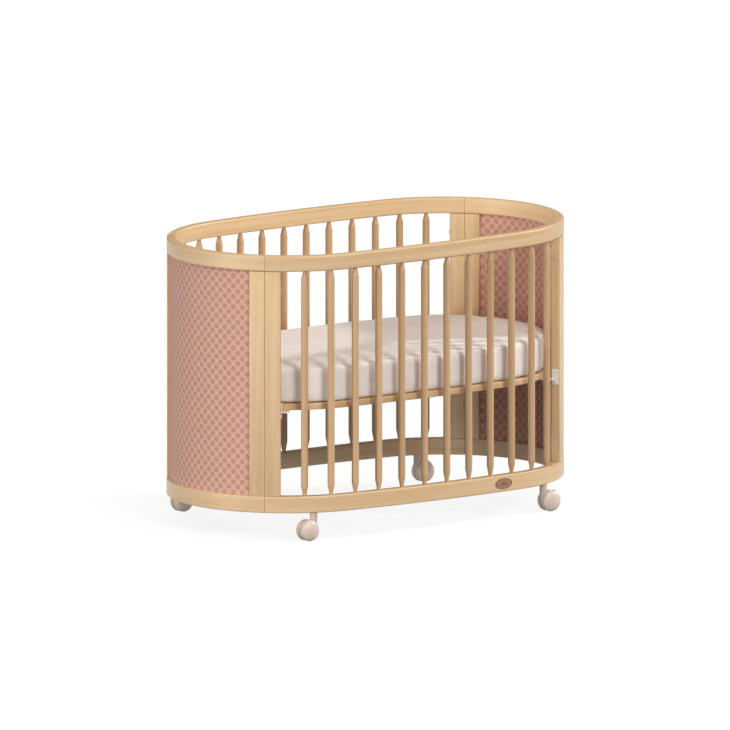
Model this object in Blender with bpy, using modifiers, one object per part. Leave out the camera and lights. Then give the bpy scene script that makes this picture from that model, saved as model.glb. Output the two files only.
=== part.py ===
"""Oval baby crib: four bolted frames, a height-adjustable base, a mattress and four casters.

Metres, +Z up. X runs along the length and -Y is the front. The origin is on the floor, at the middle.
"""
import bpy
import bmesh
from math import acos, atan2, cos, pi, radians, sin, sqrt
from mathutils import Matrix, Vector

# Plan of the ring: a four-arc oval, measured on its outer face
HALF_LENGTH = 0.666
HALF_WIDTH = 0.381
SIDE_RADIUS = 3.8
SEAM_ANGLE = radians(43.3)      # where a side frame meets an end frame, on the end arc
SIDE_STEP = 0.060               # longest chord along a side
END_STEP = 0.036                # longest chord round an end

# Heights above the floor
TOP = 0.8845
TOP_RAIL_HEIGHT = 0.049
BOTTOM_RAIL_TOP = 0.1375
BOTTOM_RAIL_UNDERSIDE = 0.0855

# Frames
GAP = 0.0003                    # between pieces that touch
RAIL_DEPTH = 0.030
RAIL_EASING = 0.005
POST_INSET = 0.001              # the posts stand a little behind the faces of the rails
POST_EASING = 0.003
SIDE_POST_WIDTH = 0.047
END_POST_WIDTH = 0.047
PANEL_INSET = 0.010
PANEL_THICKNESS = 0.008

# Slats
SLATS = 12
SLAT_PITCH = 0.0846
SLAT_RADIUS = 0.011
SLAT_TIP_RADIUS = 0.0065
SLAT_TOP_TAPER = 0.024
SLAT_BOTTOM_TAPER = 0.030
TENON_RADIUS = 0.005
TENON_LENGTH = 0.015
HOLE_CLEARANCE = 0.0006
SLAT_SIDES = 8

# Base and mattress
BASE_TOP = 0.4175
BASE_THICKNESS = 0.020
BASE_INSET = 0.050
BASE_RIM_WIDTH = 0.060
BASE_SLATS = 11
BASE_SLAT_PITCH = 0.100
BASE_SLAT_WIDTH = 0.060
BASE_SLAT_THICKNESS = 0.014
BASE_SLAT_MARGIN = 0.015         # from a slat's end to the edge of the base
MATTRESS_HEIGHT = 0.108
MATTRESS_EASING = 0.012

# Base brackets, and the pockets for them on the slat side of the side posts
BASE_TRAVEL = 0.2035            # between the two heights of the base
PLATE_HEIGHT = 0.050
PLATE_WIDTH = 0.021
PLATE_THICKNESS = 0.0025
PLATE_INSET = 0.0045
PLATE_CENTRE = 0.402
LEDGE_WIDTH = 0.024
LEDGE_THICKNESS = 0.003
LEDGE_END = 0.085               # how far in from the outer face the ledge reaches
POCKET_DEPTH = 0.0012
POCKET_MARGIN = 0.002

# Casters; their parts are laid out from the axle, with the stem on the side towards the crib's middle
CASTER_X = 0.435
CASTER_INSET = 0.0125           # of the stem, from the outer face of the rail
STEM_RADIUS = 0.0113
STEM_COLLAR_RADIUS = 0.0125
STEM_COLLAR_HEIGHT = 0.006
PIN_RADIUS = 0.004
PIN_LENGTH = 0.028
WHEEL_RADIUS = 0.0325
WHEEL_OUTER_FACE = 0.0275       # from the middle of the caster to the top of a wheel's dome
DOME_HEIGHT = 0.013             # of the rounded outer side of a wheel
WEB_HALF_WIDTH = 0.0060
WEB_RADIUS = 0.030
WEB_CHORD = 0.021              # from the axle to the flat that makes room for the lever
WHEEL_TRAIL = 0.022
WHEEL_WELL_RADIUS = 0.0337
AXLE_RADIUS = 0.004
AXLE_HOLE_RADIUS = 0.0047
LEVER_DIRECTION = radians(32)   # of the lever's outer face, above the horizontal
LEVER_FACE = 0.033
LEVER_THICKNESS = 0.0038
LEVER_TIP = 0.016
LEVER_HALF_WIDTH = 0.0055
LUG_RADIUS = 0.003
LUG_OUT = 0.027                # the lug's centre, along the lever's direction
LUG_ALONG = -0.0095             # and across it
ROUND_SIDES = 20
STEM_SIDES = 12
WHEEL_SHOULDER = 0.003          # flat of a wheel's rim beside its dome
WHEEL_EASING = 0.001
CUT_REACH = 0.03                # how far a caster's cutters run

for old in list(bpy.data.objects):
    bpy.data.objects.remove(old, do_unlink=True)


def new_collection(name):
    collection = bpy.data.collections.new(name)
    bpy.context.scene.collection.children.link(collection)
    return collection


PARTS = new_collection("oval_baby_crib")
CUTTERS = new_collection("cutters")


def make_material(name, colour, roughness, metallic=0.0):
    material = bpy.data.materials.new(name)
    material.use_nodes = True
    shader = material.node_tree.nodes["Principled BSDF"]
    shader.inputs["Base Color"].default_value = (*colour, 1.0)
    shader.inputs["Roughness"].default_value = roughness
    shader.inputs["Metallic"].default_value = metallic
    return material


BEECH = make_material("beech", (0.68, 0.46, 0.25), 0.42)
BASE_BEECH = make_material("base_beech", (0.72, 0.52, 0.32), 0.5)
CLOTH = make_material("printed_cloth", (0.60, 0.33, 0.26), 0.9)
MATTRESS_COVER = make_material("mattress_cover", (0.75, 0.66, 0.58), 0.9)
PLATE_METAL = make_material("plate_metal", (0.50, 0.44, 0.41), 0.4, 0.7)
CASTER_PLASTIC = make_material("caster_plastic", (0.76, 0.64, 0.56), 0.4)
LEVER_PLASTIC = make_material("lever_plastic", (0.55, 0.47, 0.42), 0.45)


# ---- The oval, followed counter-clockwise from the middle of the right-hand end. Stations are measured
# ---- along the middle of the rails, and insets inwards from their outer face.

END_RADIUS = (2 * SIDE_RADIUS * HALF_WIDTH - HALF_LENGTH**2 - HALF_WIDTH**2) / (
    2 * (SIDE_RADIUS - HALF_LENGTH))
END_CENTRE = HALF_LENGTH - END_RADIUS
SIDE_CENTRE = SIDE_RADIUS - HALF_WIDTH
TANGENT_ANGLE = atan2(SIDE_CENTRE, END_CENTRE)
HALF_END_ARC = (END_RADIUS - RAIL_DEPTH / 2) * TANGENT_ANGLE
HALF_SIDE_ARC = (SIDE_RADIUS - RAIL_DEPTH / 2) * (pi / 2 - TANGENT_ANGLE)
QUARTER = HALF_END_ARC + HALF_SIDE_ARC
HALF_END_FRAME = (END_RADIUS - RAIL_DEPTH / 2) * SEAM_ANGLE
HALF_SIDE_FRAME = QUARTER - HALF_END_FRAME

# Each arc: station of its middle, half its length, its centre, its radius, and the angle of its middle
ARCS = (
    (0, HALF_END_ARC, Vector((END_CENTRE, 0)), END_RADIUS, 0),
    (QUARTER, HALF_SIDE_ARC, Vector((0, -SIDE_CENTRE)), SIDE_RADIUS, pi / 2),
    (2 * QUARTER, HALF_END_ARC, Vector((-END_CENTRE, 0)), END_RADIUS, pi),
    (3 * QUARTER, HALF_SIDE_ARC, Vector((0, SIDE_CENTRE)), SIDE_RADIUS, 3 * pi / 2),
)
ARC_JOINTS = [turn * QUARTER + side * HALF_END_ARC for turn in (-2, 0, 2, 4) for side in (-1, 1)]


def oval_frame(station):
    """The centre and outer radius of the arc at a station, and the direction of the outward normal."""
    station %= 4 * QUARTER
    for middle, half_length, centre, radius, angle in ARCS:
        offset = (station - middle + 2 * QUARTER) % (4 * QUARTER) - 2 * QUARTER
        if abs(offset) <= half_length + 1e-9:
            return centre, radius, angle + offset / (radius - RAIL_DEPTH / 2)
    raise ValueError("no arc holds this station")


def oval_point(station, inset):
    """A point of the oval, moved in from the outer face."""
    centre, radius, angle = oval_frame(station)
    return centre + (radius - inset) * Vector((cos(angle), sin(angle)))


def stations_between(start, stop):
    """Evenly spaced stations along each arc, with the joints between arcs among them."""
    joints = [joint for joint in ARC_JOINTS if start + 1e-6 < joint < stop - 1e-6]
    marks = [start, *joints, stop]
    stations = [start]
    for low, high in zip(marks, marks[1:]):
        radius = oval_frame((low + high) / 2)[1]
        step = SIDE_STEP if radius == SIDE_RADIUS else END_STEP
        count = max(1, round((high - low) / step))
        stations += [low + (high - low) * (i + 1) / count for i in range(count)]
    return stations


def oval_strip(start, stop, outer_inset, inner_inset):
    """Outline of a strip of the ring between two insets."""
    stations = stations_between(start, stop)
    outer = [oval_point(station, outer_inset) for station in stations]
    inner = [oval_point(station, inner_inset) for station in reversed(stations)]
    return outer + inner


def full_oval(inset):
    return [oval_point(station, inset) for station in stations_between(0, 4 * QUARTER)[:-1]]


def half_width_at(x, inset):
    """Half the width of the oval at a distance along X from the middle."""
    if abs(x) < END_CENTRE:
        return sqrt((SIDE_RADIUS - inset) ** 2 - x**2) - SIDE_CENTRE
    return sqrt((END_RADIUS - inset) ** 2 - (abs(x) - END_CENTRE) ** 2)


def post_face(station, toward_slats):
    """Matrix of a side post's face: X outward from the crib, Y towards the slats, Z up."""
    angle = oval_frame(station)[2]
    point = oval_point(station, 0)
    outward = Vector((cos(angle), sin(angle), 0))
    along = Vector((-sin(angle), cos(angle), 0)) * toward_slats
    matrix = Matrix.Identity(4)
    matrix.col[0].xyz = outward
    matrix.col[1].xyz = along
    matrix.col[3].xyz = Vector((point.x, point.y, 0))
    return matrix


# ---- Shapes ----

def add(name, mesh, material, collection=PARTS):
    item = bpy.data.objects.new(name, mesh)
    collection.objects.link(item)
    if collection is CUTTERS:
        item.hide_render = True
        item.display_type = "WIRE"
    else:
        mesh.materials.append(material)
    return item


def outline_mesh(name, outlines, thickness):
    """Mesh of a flat outline, with any further outlines as holes, centred on Z = 0."""
    curve = bpy.data.curves.new(name, "CURVE")
    curve.dimensions = "2D"
    curve.fill_mode = "BOTH"
    curve.extrude = thickness / 2
    for outline in outlines:
        spline = curve.splines.new("POLY")
        spline.points.add(len(outline) - 1)
        for point, place in zip(spline.points, outline):
            point.co = (place.x, place.y, 0, 1)
        spline.use_cyclic_u = True
    guide = bpy.data.objects.new(name, curve)
    CUTTERS.objects.link(guide)
    graph = bpy.context.evaluated_depsgraph_get()
    mesh = bpy.data.meshes.new_from_object(guide.evaluated_get(graph))
    bpy.data.objects.remove(guide, do_unlink=True)
    shape = bmesh.new()
    shape.from_mesh(mesh)
    bmesh.ops.remove_doubles(shape, verts=shape.verts, dist=1e-5)
    bmesh.ops.recalc_face_normals(shape, faces=shape.faces)
    shape.to_mesh(mesh)
    shape.free()
    return mesh


def extrusion(name, outlines, low, high, material, collection=PARTS):
    """A flat outline given its thickness, from one height to another."""
    item = add(name, outline_mesh(name, outlines, high - low), material, collection)
    item.location.z = (low + high) / 2
    return item


def ease(item, width, segments=1):
    """Rounds or chamfers the sharp edges."""
    bevel = item.modifiers.new("eased_edges", "BEVEL")
    bevel.width = width
    bevel.segments = segments
    bevel.limit_method = "ANGLE"
    bevel.angle_limit = radians(40)


def combine(item, other, operation, solver="EXACT"):
    """A Boolean with another mesh; a piece that is joined on is kept among the cutters."""
    boolean = item.modifiers.new(operation.lower(), "BOOLEAN")
    boolean.operation = operation
    boolean.solver = solver
    boolean.object = other


def box(name, low, high, matrix=None):
    """A box between two corners, laid out in a matrix's axes, as a cutter or a piece to join on."""
    low, high = Vector(low), Vector(high)
    size = high - low
    mesh = bpy.data.meshes.new(name)
    shape = bmesh.new()
    bmesh.ops.create_cube(shape, size=1, matrix=Matrix.Translation((low + high) / 2) @ Matrix.Diagonal(
        (*size, 1)))
    shape.to_mesh(mesh)
    shape.free()
    item = add(name, mesh, None, CUTTERS)
    item.matrix_world = matrix or Matrix.Identity(4)
    return item


def round_bars(name, places, radius, low, high, sides):
    """Upright round bars of one radius in one mesh, as a cutter for holes."""
    mesh = bpy.data.meshes.new(name)
    shape = bmesh.new()
    for place in places:
        bmesh.ops.create_cone(
            shape, cap_ends=True, segments=sides, radius1=radius, radius2=radius, depth=high - low,
            matrix=Matrix.Translation((place.x, place.y, (low + high) / 2)))
    shape.to_mesh(mesh)
    shape.free()
    return add(name, mesh, None, CUTTERS)


def turned(name, profile, sides, material, collection=PARTS):
    """A turned piece about Z from (radius, height) points that run from the top to the bottom."""
    mesh = bpy.data.meshes.new(name)
    shape = bmesh.new()
    corners = [shape.verts.new((radius, 0, height)) for radius, height in profile]
    for upper, lower in zip(corners, corners[1:]):
        shape.edges.new((upper, lower))
    shape.to_mesh(mesh)
    shape.free()
    item = add(name, mesh, material, collection)
    screw = item.modifiers.new("turning", "SCREW")
    screw.steps = sides
    screw.render_steps = sides
    screw.use_merge_vertices = True
    screw.merge_threshold = 1e-5
    return item


# ---- Frames ----

def top_rail(name, start, stop):
    outline = oval_strip(start, stop, 0, RAIL_DEPTH)
    rail = extrusion(name, [outline], TOP - TOP_RAIL_HEIGHT, TOP, BEECH)
    ease(rail, RAIL_EASING)
    return rail


def bottom_rail(name, start, stop):
    outline = oval_strip(start, stop, 0, RAIL_DEPTH)
    rail = extrusion(name, [outline], BOTTOM_RAIL_UNDERSIDE, BOTTOM_RAIL_TOP, BEECH)
    ease(rail, RAIL_EASING)
    return rail


def post(name, start, stop):
    outline = oval_strip(start, stop, POST_INSET, RAIL_DEPTH - POST_INSET)
    low = BOTTOM_RAIL_TOP + GAP
    high = TOP - TOP_RAIL_HEIGHT - GAP
    upright = extrusion(name, [outline], low, high, BEECH)
    ease(upright, POST_EASING)
    return upright


def cut_slat_holes(name, top, bottom, places):
    radius = TENON_RADIUS + HOLE_CLEARANCE
    reach = TENON_LENGTH + HOLE_CLEARANCE
    underside = TOP - TOP_RAIL_HEIGHT
    upper = round_bars(f"{name}_upper_holes", places, radius, underside - reach, underside + reach, SLAT_SIDES)
    lower = round_bars(
        f"{name}_lower_holes", places, radius, BOTTOM_RAIL_TOP - reach, BOTTOM_RAIL_TOP + reach, SLAT_SIDES)
    combine(top, upper, "DIFFERENCE", "MANIFOLD")
    combine(bottom, lower, "DIFFERENCE", "MANIFOLD")


def make_slat(name, place):
    """A round bar with pencil-shaped ends and a tenon at each end."""
    top = TOP - TOP_RAIL_HEIGHT - GAP
    bottom = BOTTOM_RAIL_TOP + GAP
    profile = [
        (0, top + TENON_LENGTH), (TENON_RADIUS, top + TENON_LENGTH), (TENON_RADIUS, top),
        (SLAT_TIP_RADIUS, top), (SLAT_RADIUS, top - SLAT_TOP_TAPER),
        (SLAT_RADIUS, bottom + SLAT_BOTTOM_TAPER), (SLAT_TIP_RADIUS, bottom),
        (TENON_RADIUS, bottom), (TENON_RADIUS, bottom - TENON_LENGTH), (0, bottom - TENON_LENGTH)]
    slat = turned(name, profile, SLAT_SIDES, BEECH)
    slat.location = (place.x, place.y, 0)


def make_side_frame(name, middle):
    start, stop = middle - HALF_SIDE_FRAME + GAP, middle + HALF_SIDE_FRAME - GAP
    top = top_rail(f"{name}_top_rail", start, stop)
    bottom = bottom_rail(f"{name}_bottom_rail", start, stop)
    offsets = [(i - (SLATS - 1) / 2) * SLAT_PITCH for i in range(SLATS)]
    places = [oval_point(middle + offset, RAIL_DEPTH / 2) for offset in offsets]
    places.sort(key=lambda place: place.x)
    cut_slat_holes(name, top, bottom, places)
    for number, place in enumerate(places, 1):
        make_slat(f"{name}_slat_{number:02d}", place)
    posts = (start, start + SIDE_POST_WIDTH, 1), (stop - SIDE_POST_WIDTH, stop, -1)
    for low, high, toward_slats in posts:
        side = "right" if oval_point(low, 0).x > 0 else "left"
        upright = post(f"{name}_{side}_post", low, high)
        face = post_face(high if toward_slats > 0 else low, toward_slats)
        pocket_low = PLATE_CENTRE - BASE_TRAVEL - PLATE_HEIGHT / 2 - POCKET_MARGIN
        pocket = box(
            f"{name}_{side}_pocket",
            (-PLATE_INSET - PLATE_WIDTH - POCKET_MARGIN, -POCKET_DEPTH, pocket_low),
            (-PLATE_INSET + POCKET_MARGIN, POCKET_DEPTH, pocket_low + PLATE_HEIGHT + 2 * POCKET_MARGIN), face)
        combine(upright, pocket, "DIFFERENCE")
        make_bracket(f"base_bracket_{name}_{side}", face)
    return bottom


def make_end_frame(name, middle):
    start, stop = middle - HALF_END_FRAME + GAP, middle + HALF_END_FRAME - GAP
    top_rail(f"{name}_top_rail", start, stop)
    bottom = bottom_rail(f"{name}_bottom_rail", start, stop)
    for low, high in ((start, start + END_POST_WIDTH), (stop - END_POST_WIDTH, stop)):
        side = "rear" if oval_point(low, 0).y > 0 else "front"
        post(f"{name}_{side}_post", low, high)
    outline = oval_strip(
        start + END_POST_WIDTH + GAP, stop - END_POST_WIDTH - GAP, PANEL_INSET, PANEL_INSET + PANEL_THICKNESS)
    extrusion(f"{name}_cloth_panel", [outline], BOTTOM_RAIL_TOP + GAP, TOP - TOP_RAIL_HEIGHT - GAP, CLOTH)
    return bottom


# ---- Base and mattress ----

def make_bracket(name, face):
    """A plate on the slat side of a post, with a ledge that runs in under the base."""
    low = PLATE_CENTRE - PLATE_HEIGHT / 2
    plate = box(
        f"{name}_plate", (-PLATE_INSET - PLATE_WIDTH, GAP, low),
        (-PLATE_INSET, GAP + PLATE_THICKNESS, low + PLATE_HEIGHT), face)
    plate.name = name
    CUTTERS.objects.unlink(plate)
    PARTS.objects.link(plate)
    plate.hide_render = False
    plate.display_type = "TEXTURED"
    plate.data.materials.append(PLATE_METAL)
    ledge_top = BASE_TOP - BASE_THICKNESS - GAP
    ledge = box(
        f"{name}_ledge", (-LEDGE_END, GAP, ledge_top - LEDGE_THICKNESS),
        (-PLATE_INSET - PLATE_WIDTH / 2, GAP + LEDGE_WIDTH, ledge_top), face)
    combine(plate, ledge, "UNION")


def make_base():
    """An oval rim with slats across it, under the mattress."""
    bottom = BASE_TOP - BASE_THICKNESS
    rim = [full_oval(BASE_INSET), full_oval(BASE_INSET + BASE_RIM_WIDTH)]
    base = extrusion("mattress_base", rim, bottom, BASE_TOP, BASE_BEECH)
    slat_bottom = bottom + (BASE_THICKNESS - BASE_SLAT_THICKNESS) / 2
    for number in range(BASE_SLATS):
        x = (number - (BASE_SLATS - 1) / 2) * BASE_SLAT_PITCH
        reach = half_width_at(abs(x) + BASE_SLAT_WIDTH / 2, BASE_INSET + BASE_SLAT_MARGIN)
        slat = box(
            f"base_slat_{number + 1}", (x - BASE_SLAT_WIDTH / 2, -reach, slat_bottom),
            (x + BASE_SLAT_WIDTH / 2, reach, slat_bottom + BASE_SLAT_THICKNESS))
        combine(base, slat, "UNION")


def make_mattress():
    low = BASE_TOP + GAP
    mattress = extrusion("mattress", [full_oval(BASE_INSET)], low, low + MATTRESS_HEIGHT, MATTRESS_COVER)
    ease(mattress, MATTRESS_EASING, 2)


# ---- Casters ----

def lever_outline():
    """Side view of the brake lever, from its lug along its flat, in the lever's own directions."""
    inner = LEVER_FACE - LEVER_THICKNESS
    meeting = acos((inner - LUG_OUT) / LUG_RADIUS)
    sweep = 2 * pi - meeting - radians(20)
    angles = [-radians(20) - sweep * i / 7 for i in range(8)]
    lug = [Vector((LUG_OUT + LUG_RADIUS * cos(a), LUG_ALONG + LUG_RADIUS * sin(a))) for a in angles]
    tip = [Vector((inner, LEVER_TIP)), Vector((LEVER_FACE, LEVER_TIP - LEVER_THICKNESS / 4))]
    return tip + [Vector((LEVER_FACE, LUG_ALONG + LUG_RADIUS / 2))] + lug


def make_caster(name, side, front, rail):
    """A swivelling stem and web, a pair of wheels on one axle, and a brake lever, under a bottom rail.

    side is +1 at the right-hand end and front is -1 at the front.
    """
    y = front * half_width_at(CASTER_X, CASTER_INSET)
    swivel = bpy.data.objects.new(f"{name}_swivel_axis", None)
    swivel.location = (side * CASTER_X, y, 0)
    CUTTERS.objects.link(swivel)
    radius = PIN_RADIUS + HOLE_CLEARANCE
    hole = round_bars(
        f"{name}_pin_hole", [swivel.location], radius, BOTTOM_RAIL_UNDERSIDE - PIN_LENGTH,
        BOTTOM_RAIL_UNDERSIDE + PIN_LENGTH + HOLE_CLEARANCE, SLAT_SIDES)
    combine(rail, hole, "DIFFERENCE", "MANIFOLD")

    top = BOTTOM_RAIL_UNDERSIDE - GAP
    stem = turned(f"{name}_stem", [
        (0, top + PIN_LENGTH), (PIN_RADIUS, top + PIN_LENGTH), (PIN_RADIUS, top), (STEM_COLLAR_RADIUS, top),
        (STEM_COLLAR_RADIUS, top - STEM_COLLAR_HEIGHT), (STEM_RADIUS, top - STEM_COLLAR_HEIGHT - 0.001),
        (STEM_RADIUS, WHEEL_RADIUS), (0, WHEEL_RADIUS)], STEM_SIDES, CASTER_PLASTIC)
    stem.name = f"{name}_body"
    stem.parent = swivel

    axle = Matrix.Translation((side * WHEEL_TRAIL, 0, WHEEL_RADIUS)) @ Matrix.Rotation(pi / 2, 4, "X")
    wells = []
    for well_side in (-1, 1):
        well = turned(f"{name}_well_{well_side}", [
            (0, CUT_REACH), (WHEEL_WELL_RADIUS, CUT_REACH), (WHEEL_WELL_RADIUS, WEB_HALF_WIDTH),
            (0, WEB_HALF_WIDTH)], ROUND_SIDES, None, CUTTERS)
        well.parent = swivel
        turn = Matrix.Identity(4) if well_side > 0 else Matrix.Rotation(pi, 4, "X")
        well.matrix_local = axle @ turn
        wells.append(well)
    web = turned(f"{name}_web", [
        (0, WEB_HALF_WIDTH), (WEB_RADIUS, WEB_HALF_WIDTH), (WEB_RADIUS, -WEB_HALF_WIDTH),
        (0, -WEB_HALF_WIDTH)], ROUND_SIDES, None, CUTTERS)
    web.parent = swivel
    web.matrix_local = axle

    # The lever's directions: X out from the axle to the lever's face, Y along it, Z across the caster
    out = Vector((side * cos(LEVER_DIRECTION), 0, sin(LEVER_DIRECTION)))
    along = Vector((-side * sin(LEVER_DIRECTION), 0, cos(LEVER_DIRECTION)))
    lever_axes = Matrix.Identity(4)
    lever_axes.col[0].xyz = out
    lever_axes.col[1].xyz = along
    lever_axes.col[2].xyz = out.cross(along)
    lever_axes.col[3].xyz = Vector((side * WHEEL_TRAIL, 0, WHEEL_RADIUS))
    room = box(f"{name}_lever_room", (WEB_CHORD, LUG_ALONG + LUG_RADIUS / 2, -CUT_REACH),
               (WEB_CHORD + CUT_REACH, CUT_REACH, CUT_REACH))
    room.parent = swivel
    room.matrix_local = lever_axes
    socket = turned(f"{name}_lug_socket", [
        (0, CUT_REACH), (LUG_RADIUS + HOLE_CLEARANCE, CUT_REACH), (LUG_RADIUS + HOLE_CLEARANCE, -CUT_REACH),
        (0, -CUT_REACH)], STEM_SIDES, None, CUTTERS)
    socket.parent = swivel
    socket.matrix_local = lever_axes @ Matrix.Translation((LUG_OUT, LUG_ALONG, 0))
    axle_hole = turned(f"{name}_axle_hole", [
        (0, CUT_REACH), (AXLE_HOLE_RADIUS, CUT_REACH), (AXLE_HOLE_RADIUS, -CUT_REACH),
        (0, -CUT_REACH)], STEM_SIDES, None, CUTTERS)
    axle_hole.parent = swivel
    axle_hole.matrix_local = axle
    for well in wells:
        combine(stem, well, "DIFFERENCE")
    combine(stem, web, "UNION")
    for cutter in (room, socket, axle_hole):
        combine(stem, cutter, "DIFFERENCE")

    wheel_face = WEB_HALF_WIDTH + GAP
    dome = WHEEL_OUTER_FACE - DOME_HEIGHT
    half = [(0, WHEEL_OUTER_FACE)]
    half += [(WHEEL_RADIUS * sin(a), dome + DOME_HEIGHT * cos(a)) for a in (radians(d) for d in (28, 54, 76))]
    half += [(WHEEL_RADIUS, dome - WHEEL_SHOULDER), (WHEEL_RADIUS, wheel_face + WHEEL_EASING)]
    half += [(WHEEL_RADIUS - WHEEL_EASING, wheel_face), (AXLE_RADIUS, wheel_face)]
    wheels = turned(
        f"{name}_wheels", half + [(r, -z) for r, z in reversed(half)], ROUND_SIDES, CASTER_PLASTIC)
    wheels.parent = swivel
    wheels.matrix_local = axle

    lever_mesh = outline_mesh(f"{name}_lever", [lever_outline()], 2 * LEVER_HALF_WIDTH)
    lever_mesh.transform(Matrix.Translation((-LUG_OUT, -LUG_ALONG, 0)))
    lever = add(f"{name}_brake_lever", lever_mesh, LEVER_PLASTIC)
    lever.parent = swivel
    lever.matrix_local = lever_axes @ Matrix.Translation((LUG_OUT, LUG_ALONG, 0))


front_bottom = make_side_frame("front", 3 * QUARTER)
rear_bottom = make_side_frame("rear", QUARTER)
right_bottom = make_end_frame("right_end", 0)
left_bottom = make_end_frame("left_end", 2 * QUARTER)
make_base()
make_mattress()
for side, side_name in ((-1, "left"), (1, "right")):
    make_caster(f"caster_front_{side_name}", side, -1, front_bottom)
    make_caster(f"caster_rear_{side_name}", side, 1, rear_bottom)
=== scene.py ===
"""Looks for the oval baby crib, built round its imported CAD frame. Metres, +Z up, and the front faces -Y."""

from math import acos, atan2, cos, pi, radians, sin

import bmesh
import bpy
import numpy as np
from mathutils import Matrix, Vector


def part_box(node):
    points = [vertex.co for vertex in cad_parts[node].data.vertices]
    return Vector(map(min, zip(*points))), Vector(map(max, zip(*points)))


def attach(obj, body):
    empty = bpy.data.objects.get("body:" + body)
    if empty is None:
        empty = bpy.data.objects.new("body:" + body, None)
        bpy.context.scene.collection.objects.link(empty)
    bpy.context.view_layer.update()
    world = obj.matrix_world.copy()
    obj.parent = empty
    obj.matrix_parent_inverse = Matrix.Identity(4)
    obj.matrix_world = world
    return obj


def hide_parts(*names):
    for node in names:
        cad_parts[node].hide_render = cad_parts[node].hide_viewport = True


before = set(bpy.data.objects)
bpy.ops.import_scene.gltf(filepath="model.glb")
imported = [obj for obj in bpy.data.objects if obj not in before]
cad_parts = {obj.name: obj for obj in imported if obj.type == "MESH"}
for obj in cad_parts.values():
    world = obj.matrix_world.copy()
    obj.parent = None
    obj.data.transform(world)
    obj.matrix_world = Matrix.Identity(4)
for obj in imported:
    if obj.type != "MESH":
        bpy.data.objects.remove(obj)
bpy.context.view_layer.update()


# ---- Camera and studio. The camera looks at the crib without perspective, from its front left corner and
# ---- a little above the rails. A key lamp and a weaker, lower one shine from the right, and a wide screen
# ---- from the front and one from the left fill in. The floor is a white sweep under a pale warm sky.

VIEW_TURN = radians(-36.05)
VIEW_RISE = radians(9.8)
VIEW_WIDTH = 2.236
VIEW_CENTRE = Vector((-0.0010, 0.0003, 0.4535))
VIEW_DISTANCE = 14.0
LAMP_SIZE = radians(4)
SCREEN_SIZE = radians(6)
FRONT_SIZE = radians(18)
SKY_BRIGHTEST = (-0.25, -0.35, 0.90)
SKY_COLOUR = (1.0, 0.92, 0.83)
FLOOR_REACH = 60.0
FLOOR_FADE_START = 0.55          # distances from the middle of the crib between which the floor turns white
FLOOR_FADE_END = 1.30

right = Vector((cos(VIEW_TURN), sin(VIEW_TURN), 0))
back = Vector((sin(VIEW_TURN) * cos(VIEW_RISE), -cos(VIEW_TURN) * cos(VIEW_RISE), sin(VIEW_RISE)))
camera = bpy.data.objects.new("camera", bpy.data.cameras.new("camera"))
camera.data.type = "ORTHO"
camera.data.ortho_scale = VIEW_WIDTH
camera.matrix_world = Matrix.Translation(VIEW_CENTRE + back * VIEW_DISTANCE) @ Matrix(
    (right, back.cross(right), back)).transposed().to_4x4()
bpy.context.scene.collection.objects.link(camera)
bpy.context.scene.camera = camera
bpy.context.scene.view_settings.view_transform = "Standard"


def hang_lamp(name, direction, strength, size, colour):
    """A lamp so far off that its rays run parallel, shining from a direction; size is the angle it fills."""
    lamp = bpy.data.objects.new(name, bpy.data.lights.new(name, "SUN"))
    lamp.data.energy = strength
    lamp.data.angle = size
    lamp.data.color = colour
    lamp.rotation_mode = "QUATERNION"
    lamp.rotation_quaternion = Vector(direction).to_track_quat("Z", "Y")
    bpy.context.scene.collection.objects.link(lamp)


hang_lamp("key_lamp", (0.808, -0.310, 0.500), 1.35, LAMP_SIZE, (1.0, 1.0, 0.98))
hang_lamp("low_right_lamp", (0.916, -0.211, 0.342), 0.16, SCREEN_SIZE, (1.0, 0.97, 0.93))
hang_lamp("front_screen", (-0.108, -0.876, 0.469), 1.31, FRONT_SIZE, (1.0, 1.0, 0.985))
hang_lamp("left_screen", (-0.998, 0.035, 0.055), 1.24, SCREEN_SIZE, (1.0, 0.99, 0.98))
world = bpy.data.worlds.new("studio")
world.use_nodes = True
# The sky's strength is 0.25 + 0.5 times the cosine of the angle from its brightest point, high at the front
# left, and nothing on the far side
sky = world.node_tree.nodes
sky_place = sky.new("ShaderNodeTexCoord")
sky_cosine = sky.new("ShaderNodeVectorMath")
sky_cosine.operation = "DOT_PRODUCT"
sky_cosine.inputs[1].default_value = Vector(SKY_BRIGHTEST).normalized()
sky_strength = sky.new("ShaderNodeMapRange")
sky_strength.inputs["From Min"].default_value = -0.5
sky_strength.inputs["To Min"].default_value = 0.0
sky_strength.inputs["To Max"].default_value = 0.75
world.node_tree.links.new(sky_place.outputs["Generated"], sky_cosine.inputs[0])
world.node_tree.links.new(sky_cosine.outputs["Value"], sky_strength.inputs["Value"])
world.node_tree.links.new(sky_strength.outputs[0], sky["Background"].inputs["Strength"])
sky["Background"].inputs["Color"].default_value = (*SKY_COLOUR, 1)
bpy.context.scene.world = world

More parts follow.
